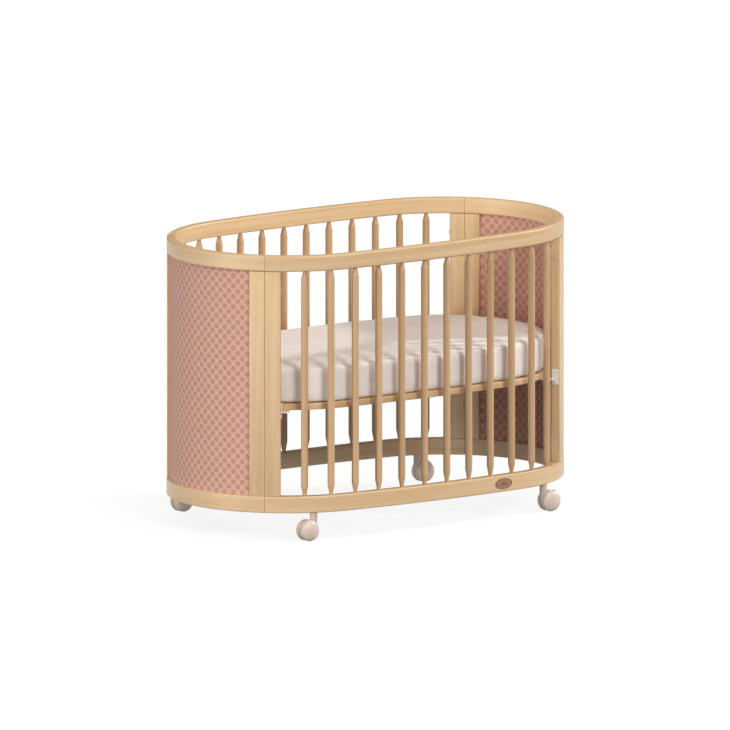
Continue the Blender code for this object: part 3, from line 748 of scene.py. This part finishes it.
plate_metal = powder_coat_finish("plate_metal", colour(243, 236, 231), colour(233, 225, 219), 0.34)
for post_side, (face_station, toward_slats) in side_faces.items():
    on_face = slat_side_axes(face_station, toward_slats, PLATE_CENTRE)
    plate = slab(rounded_rectangle(PLATE_WIDTH, PLATE_HEIGHT, 0.0045), PLATE_THICKNESS, PRESSED_EDGE)
    plate += (pocket_middle, 0, SEAM_GAP + PLATE_THICKNESS / 2)
    ledge_run = LEDGE_END - PLATE_INSET - PLATE_WIDTH / 2
    ledge = slab(rounded_rectangle(ledge_run, LEDGE_WIDTH, 0.004), LEDGE_THICKNESS, PRESSED_EDGE)
    ledge_middle = Matrix.Translation((-LEDGE_END + ledge_run / 2, 0, SEAM_GAP + LEDGE_WIDTH / 2))
    lying = on_face @ ledge_middle @ Matrix.Rotation(pi / 2, 4, "X")
    lying.translation.z = base_bottom - SEAM_GAP - LEDGE_THICKNESS / 2
    bracket_shells = [shell(moved(plate, on_face)), shell(moved(ledge, lying))]
    for shift in (-SCREW_HOLE_SPREAD, SCREW_HOLE_SPREAD):
        on_plate = on_face @ Matrix.Translation((pocket_middle, shift, SEAM_GAP + PLATE_THICKNESS))
        bracket_shells.append(shell(turned(bolt_profile, 28, on_plate @ Matrix.Scale(SCREW_SCALE, 4))))
    bracket = make_mesh_object(f"bracket_{post_side}", bracket_shells)
    place(bracket, plate_metal, "plate_metal", "base", f"base_bracket_{post_side}")


# ---- Mattress. An oval foam core in a fitted cover of brushed off-white cotton. The foam presses the
# ---- cover into a soft crown on top, and it lies flat on the base. Insets are from the crib's outside.

FOAM_EASING = 0.008
LOWER_EASING = 0.012
FOAM_PROUD = 0.001               # the foam's top edge above the plain mattress, and the rise of its crown
CROWN_RISE = 0.003
CROWN_PEAK = 0.004
VOXEL = 0.0092
MOST_SWELL = 0.006
COVER_INSET = 0.0490             # the swollen cover stops here, short of the posts
SWELL_STEPS = 20

mattress_bottom, mattress_top = (corner.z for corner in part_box("mattress"))
turn = np.linspace(0, pi / 2, 7)[:, None]
foam_top = mattress_top + FOAM_PROUD
lower_edge = (BASE_INSET, mattress_bottom) + LOWER_EASING * (1 - np.hstack([np.sin(turn), np.cos(turn)]))
upper_edge = (BASE_INSET, foam_top) + FOAM_EASING * (1 - np.hstack([np.cos(turn), np.sin(turn)])) * (1, -1)
rows = np.concatenate([
    [(0.30, mattress_bottom), (0.15, mattress_bottom)], lower_edge, upper_edge,
    [(0.15, foam_top + CROWN_RISE), (0.30, foam_top + CROWN_PEAK)]])
core = np.empty((len(rows), len(all_round), 3))
core[..., :2] = on_ring(all_round[None], rows[:, :1])
core[..., 2] = rows[:, 1:]
mattress = make_mesh_object("mattress_cover", [shell(core)])


def keep_evaluated(item):
    """Takes what the modifiers make as the piece's own mesh."""
    made = bpy.data.meshes.new_from_object(item.evaluated_get(bpy.context.evaluated_depsgraph_get()))
    item.modifiers.clear()
    item.data = made


remesh = mattress.modifiers.new("even_cloth", "REMESH")
remesh.mode = "VOXEL"
remesh.voxel_size = VOXEL
keep_evaluated(mattress)
smooth = mattress.modifiers.new("relaxed", "SMOOTH")
smooth.iterations = 2
keep_evaluated(mattress)
rest = mesh_points(mattress)
cloth = mattress.modifiers.new("swelling", "CLOTH")
cloth.settings.use_pressure = True
cloth.settings.uniform_pressure_force = 2.5
cloth.settings.effector_weights.gravity = 0.0
cloth.settings.tension_stiffness = 12.0
cloth.settings.compression_stiffness = 12.0
cloth.settings.bending_stiffness = 0.6
cloth.point_cache.frame_end = SWELL_STEPS
for step in range(1, SWELL_STEPS + 1):
    bpy.context.scene.frame_set(step)
keep_evaluated(mattress)
bpy.context.scene.frame_set(1)
travel = mesh_points(mattress) - rest
length = np.linalg.norm(travel, axis=1, keepdims=True)
swollen = rest + travel * np.minimum(1, MOST_SWELL / np.maximum(length, 1e-9))
mattress.data.vertices.foreach_set("co", swollen.astype(np.float32).ravel())

puffed = mesh_points(mattress)
crown = straightened(puffed, 0.0)[:, 1]
puffed[:, 2] = np.maximum(puffed[:, 2], mattress_bottom)
outside = np.clip(COVER_INSET - crown, 0, None)[:, None]
puffed[:, :2] *= 1 - outside / np.linalg.norm(puffed[:, :2], axis=1, keepdims=True)
mattress.data.vertices.foreach_set("co", puffed.astype(np.float32).ravel())
mattress.data.shade_smooth()
finer = mattress.modifiers.new("finer", "SUBSURF")
finer.levels = 1
finer.render_levels = 1
cover_paint = Paint("mattress_cover", Sheen_Weight=0.2, Sheen_Roughness=0.5, Specular_IOR_Level=0.15)
spot = cover_paint.node("ShaderNodeTexCoord", {}, {}, "Object")
ribs = cover_paint.noise(spot, (420, 420, 420), 2.0)
nap = cover_paint.noise(spot, (28, 28, 28), 3.0)
mattress_cover = cover_paint.finish(
    Base_Color=cover_paint.mix(
        cover_paint.step(nap, 0.35, 0.7), colour(244, 238, 237), colour(238, 231, 229)),
    Roughness=0.84 + 0.1 * ribs, Normal=cover_paint.bump(ribs + 0.5 * nap, 0.25, 0.0003))
place(mattress, mattress_cover, "mattress_cover", "mattress", "mattress")


# ---- Casters. Each is moulded in pale beige nylon: a round stem that swivels under the rail and runs
# ---- down into a web, and a pair of domed wheels on one axle. A small lever on the web is the brake.
# ---- Lengths along the stem run up from the floor, and those along the axle from the middle of the web.

CASTER_X = 0.435
CASTER_INSET = 0.0125
STEM_RADIUS = 0.0113
COLLAR_RADIUS = 0.0125
COLLAR_HEIGHT = 0.006
WHEEL_RADIUS = 0.0325
WHEEL_FACE = 0.0275
DOME_HEIGHT = 0.013
WEB_HALF_WIDTH = 0.0060
WEB_RADIUS = 0.030
WEB_EDGE = 0.001
WEB_CHORD = 0.021                # the web is cut off here, square to the lever, to make room for it
WHEEL_TRAIL = 0.022
WELL_RADIUS = 0.0337
AXLE_RADIUS = 0.004
LEVER_DIRECTION = radians(32)
LEVER_FACE = 0.033
LEVER_THICKNESS = 0.0038
LEVER_TIP = 0.016
LEVER_HALF_WIDTH = 0.0055
LUG_RADIUS = 0.003
LUG_CLEARANCE = 0.0006
LUG_OUT = 0.027
LUG_ALONG = -0.0095
PAST_ALL = 0.03                  # far enough out to cut right through a caster
NEAR_AXIS = 0.0003               # a turned end closes on a tiny flat face
MOULDED_SHARP = radians(30)

caster_plastic = powder_coat_finish("caster_plastic", colour(223, 206, 195), colour(214, 196, 185), 0.30)
# The stem is the same nylon as the wheels, made 15 steps darker: painted shade for where it stands under the
# rail
shaded_stem_plastic = powder_coat_finish("shaded_stem_plastic", colour(208, 190, 179), colour(198, 180, 169), 0.30)
lever_plastic = powder_coat_finish("lever_plastic", colour(214, 198, 188), colour(204, 188, 178), 0.34)
# Dark grey for a thin strip at the tip of each brake lever, which is of the lever's own plastic: painted
# shade for its shaded edge
painted_tip_shade = powder_coat_finish("painted_tip_shade", colour(122, 112, 108), colour(108, 98, 95), 0.5)
stem_top = bottom_rail_bottom - SEAM_GAP
axle = Matrix.Translation((WHEEL_TRAIL, 0, WHEEL_RADIUS)) @ Matrix.Rotation(pi / 2, 4, "X")
out_x, out_z = cos(LEVER_DIRECTION), sin(LEVER_DIRECTION)
lever_axes = Matrix(((out_x, -out_z, 0), (0, 0, -1), (out_z, out_x, 0))).to_4x4()
lever_axes.translation = (WHEEL_TRAIL, 0, WHEEL_RADIUS)


def joined(item, shells, operation):
    """Adds skins to a piece or cuts them away, and keeps the result."""
    other = make_mesh_object("other", shells)
    boolean = item.modifiers.new("joined", "BOOLEAN")
    boolean.operation = operation
    boolean.solver = "EXACT"
    boolean.object = other
    keep_evaluated(item)
    bpy.data.objects.remove(other, do_unlink=True)


collar_bottom = stem_top - COLLAR_HEIGHT
stem_profile = [
    (NEAR_AXIS, stem_top), (COLLAR_RADIUS - 0.001, stem_top), (COLLAR_RADIUS, stem_top - 0.001),
    (COLLAR_RADIUS, collar_bottom + 0.001), (COLLAR_RADIUS - 0.0008, collar_bottom),
    (STEM_RADIUS, collar_bottom - 0.0006), (STEM_RADIUS, collar_bottom - 0.002),
    (STEM_RADIUS, WHEEL_RADIUS + 0.002), (STEM_RADIUS - 0.0015, WHEEL_RADIUS), (NEAR_AXIS, WHEEL_RADIUS)]
pattern_body = make_mesh_object("caster_pattern", [shell(turned(stem_profile, 48))])
for side in (-1, 1):
    well = [
        (NEAR_AXIS, side * PAST_ALL), (WELL_RADIUS, side * PAST_ALL),
        (WELL_RADIUS, side * WEB_HALF_WIDTH), (NEAR_AXIS, side * WEB_HALF_WIDTH)]
    joined(pattern_body, [shell(turned(well, 72, axle))], "DIFFERENCE")
web = [
    (NEAR_AXIS, WEB_HALF_WIDTH), (WEB_RADIUS - WEB_EDGE, WEB_HALF_WIDTH),
    (WEB_RADIUS, WEB_HALF_WIDTH - WEB_EDGE), (WEB_RADIUS, WEB_EDGE - WEB_HALF_WIDTH),
    (WEB_RADIUS - WEB_EDGE, -WEB_HALF_WIDTH), (NEAR_AXIS, -WEB_HALF_WIDTH)]
joined(pattern_body, [shell(turned(web, 72, axle))], "UNION")
pad_bottom = LUG_ALONG + LUG_RADIUS / 2
room = np.array([(WEB_CHORD, pad_bottom), (0.04, pad_bottom), (0.04, PAST_ALL), (WEB_CHORD, PAST_ALL)])
joined(pattern_body, [shell(moved(slab(room, 0.04, 0.0001), lever_axes))], "DIFFERENCE")
socket = [(LUG_RADIUS + LUG_CLEARANCE, -PAST_ALL), (LUG_RADIUS + LUG_CLEARANCE, PAST_ALL)]
lug_axes = lever_axes @ Matrix.Translation((LUG_OUT, LUG_ALONG, 0))
joined(pattern_body, [shell(turned(socket, 24, lug_axes))], "DIFFERENCE")
body_points = mesh_points(pattern_body)
body_faces = [list(face.vertices) for face in pattern_body.data.polygons]
bpy.data.objects.remove(pattern_body, do_unlink=True)

# The wheels: a domed cap, a fine groove, a flat tread, and the same again on the other side of the web
dome = WHEEL_FACE - DOME_HEIGHT
sweep = np.radians(np.linspace(2, 86, 20))
cap = np.stack([(WHEEL_RADIUS - 0.0007) * np.sin(sweep), dome + DOME_HEIGHT * np.cos(sweep)], axis=-1)
wheel_half = np.concatenate([cap, [
    (WHEEL_RADIUS - 0.0009, dome + 0.0002), (WHEEL_RADIUS - 0.0016, dome - 0.0001),
    (WHEEL_RADIUS - 0.0016, dome - 0.0007), (WHEEL_RADIUS - 0.0005, dome - 0.0009),
    (WHEEL_RADIUS, dome - 0.0014), (WHEEL_RADIUS, WEB_HALF_WIDTH + 0.0013),
    (WHEEL_RADIUS - 0.0010, WEB_HALF_WIDTH + SEAM_GAP), (AXLE_RADIUS, WEB_HALF_WIDTH + SEAM_GAP)]])
wheel_profile = np.concatenate([wheel_half, wheel_half[::-1] * (1, -1)])
wheel_points, wheel_faces = shell(turned(wheel_profile, 64, axle))

# The lever, drawn from the side: a flat pad that ends in a round lug
inner = LEVER_FACE - LEVER_THICKNESS
meeting = acos((inner - LUG_OUT) / LUG_RADIUS)
around = -radians(20) - np.linspace(0, 2 * pi - meeting - radians(20), 16)
lug = np.stack([LUG_OUT + LUG_RADIUS * np.cos(around), LUG_ALONG + LUG_RADIUS * np.sin(around)], axis=-1)
lever_outline = np.concatenate([[
    (inner, LEVER_TIP - 0.001), (inner + 0.001, LEVER_TIP), (LEVER_FACE - 0.0016, LEVER_TIP - 0.0003),
    (LEVER_FACE, LEVER_TIP - 0.0022), (LEVER_FACE, pad_bottom)], lug])


def across_caster(outline, half_width):
    """A side view given its width across the caster."""
    rows = np.array([-half_width, half_width])[:, None, None]
    flat = np.broadcast_to(outline, (2, *outline.shape))
    return moved(np.concatenate([flat, np.broadcast_to(rows, (2, len(outline), 1))], axis=-1), lever_axes)


lever_points, lever_faces = shell(across_caster(lever_outline, LEVER_HALF_WIDTH))
# A thin strip along the lever's tip, coloured dark as painted shade
tip_shade_outline = rounded_rectangle(0.0026, 0.0018, 0.0006, 4) + (LEVER_FACE - 0.0020, LEVER_TIP - 0.0004)
tip_shade_points, tip_shade_faces = shell(across_caster(tip_shade_outline, LEVER_HALF_WIDTH - 0.0012))


def set_down(name, points, faces, side, foot):
    """A caster piece, mirrored for its end of the crib and moved to its corner."""
    return make_mesh_object(name, [(points * (side, 1, 1) + foot, faces)], MOULDED_SHARP)


for side, end_name in ((-1, "left"), (1, "right")):
    for face, face_name in ((-1, "front"), (1, "rear")):
        foot = (side * CASTER_X, face * float(half_width_at(CASTER_X, CASTER_INSET)), 0)
        caster = f"caster_{face_name}_{end_name}"
        body = set_down(f"{caster}_stem", body_points, body_faces, side, foot)
        # The stem wears the darker copy of the nylon, which is painted shade
        place(body, shaded_stem_plastic, "caster_plastic", caster, f"{caster}_body")
        wheels = set_down(f"{caster}_domes", wheel_points, wheel_faces, side, foot)
        place(wheels, caster_plastic, "caster_plastic", f"{caster}_wheel_pair", f"{caster}_wheels")
        lever = set_down(f"{caster}_lever", lever_points, lever_faces, side, foot)
        edge = lever.modifiers.new("moulded_edges", "BEVEL")
        edge.width = 0.0007
        edge.segments = 3
        edge.angle_limit = radians(40)
        place(lever, lever_plastic, "lever_plastic", f"{caster}_brake", f"{caster}_brake_lever")
        # The dark strip at the lever's tip is painted shade, in the lever's plastic slot
        tip_shade_strip = set_down(f"{caster}_lever_painted_tip_shade", tip_shade_points, tip_shade_faces, side, foot)
        place(tip_shade_strip, painted_tip_shade, "lever_plastic", f"{caster}_brake")


# ---- Badge. A small oval of brown stained wood, pressed with a raised rim and a plain sprig of leaves,
# ---- glued to the front bottom rail. The sprig stands for whatever mark a maker would put there.

BADGE_X = 0.253
BADGE_HALF_WIDTH = 0.0330
BADGE_HALF_HEIGHT = 0.0172
BADGE_PROUD = 0.0012
RIM_RISE = 0.0008
SPRIG_RISE = 0.0007

badge_station = 3 * quarter + float(np.arcsin(BADGE_X / SIDE_RADIUS) * (SIDE_RADIUS - RAIL_DEPTH / 2))
badge_height = (bottom_rail_bottom + bottom_rail_top) / 2
spread = np.concatenate([[1.0, 1.0], np.linspace(0.985, 0.02, 60)])[:, None]
angles = np.linspace(0, 2 * pi, 144, endpoint=False)[None]
badge_x = BADGE_HALF_WIDTH * spread * np.cos(angles)
badge_y = BADGE_HALF_HEIGHT * spread * np.sin(angles)


def rounded_step(distance, width):
    return 1 / (1 + np.exp(np.clip(distance / width, -40, 40)))


def leaf(x, y, middle, lean, half_length, half_width):
    """1 inside a pointed leaf: at u along its spine it is half_width * (1 - (u / half_length)^2) each way."""
    u = (x - middle[0]) * cos(lean) + (y - middle[1]) * sin(lean)
    v = (y - middle[1]) * cos(lean) - (x - middle[0]) * sin(lean)
    return rounded_step(np.abs(v) - half_width * (1 - (u / half_length) ** 2), 0.0002)


motif = np.maximum.reduce([
    leaf(badge_x, badge_y, (0, 0.0015), pi / 2, 0.0088, 0.0026),
    leaf(badge_x, badge_y, (-0.0085, -0.0010), radians(28), 0.0080, 0.0023),
    leaf(badge_x, badge_y, (0.0085, -0.0010), radians(152), 0.0080, 0.0023),
    leaf(badge_x, badge_y, (0, -0.0078), 0.0, 0.0120, 0.0007)])
rim_ridge = np.exp(-(((spread - 0.90) / 0.045) ** 2))
proud = BADGE_PROUD + RIM_RISE * rim_ridge + SPRIG_RISE * motif
proud[:2] = [[-0.001], [0.0006]]
badge_grid = np.empty((*proud.shape, 3))
badge_grid[..., :2] = on_ring(badge_station + badge_x, -proud)
badge_grid[..., 2] = badge_height + badge_y
badge = make_mesh_object("front_badge", [shell(badge_grid)], radians(60))
relief = np.broadcast_to(np.maximum(rim_ridge, 0.9 * motif), proud.shape).ravel()
lay_pattern(badge, np.stack([badge_x.ravel(), relief, badge_y.ravel()], axis=-1), "relief")
badge_paint = Paint("badge_stain", Coat_Weight=0.3, Coat_Roughness=0.25)
carved = badge_paint.node("ShaderNodeAttribute", {"attribute_name": "relief"}, {}, "Vector")
raised = badge_paint.node("ShaderNodeSeparateXYZ", {}, {0: carved}, "Y")
figure = badge_paint.noise(carved, (120, 0, 1200), 2.0)
badge_tone = badge_paint.mix(0.5 * figure, colour(164, 114, 84), colour(146, 98, 70))
badge_finish = badge_paint.finish(
    Base_Color=badge_paint.mix(0.9 * raised, badge_tone, colour(84, 50, 34)), Roughness=0.36 + 0.2 * figure)
place(badge, badge_finish, "frame_beech", "frame")
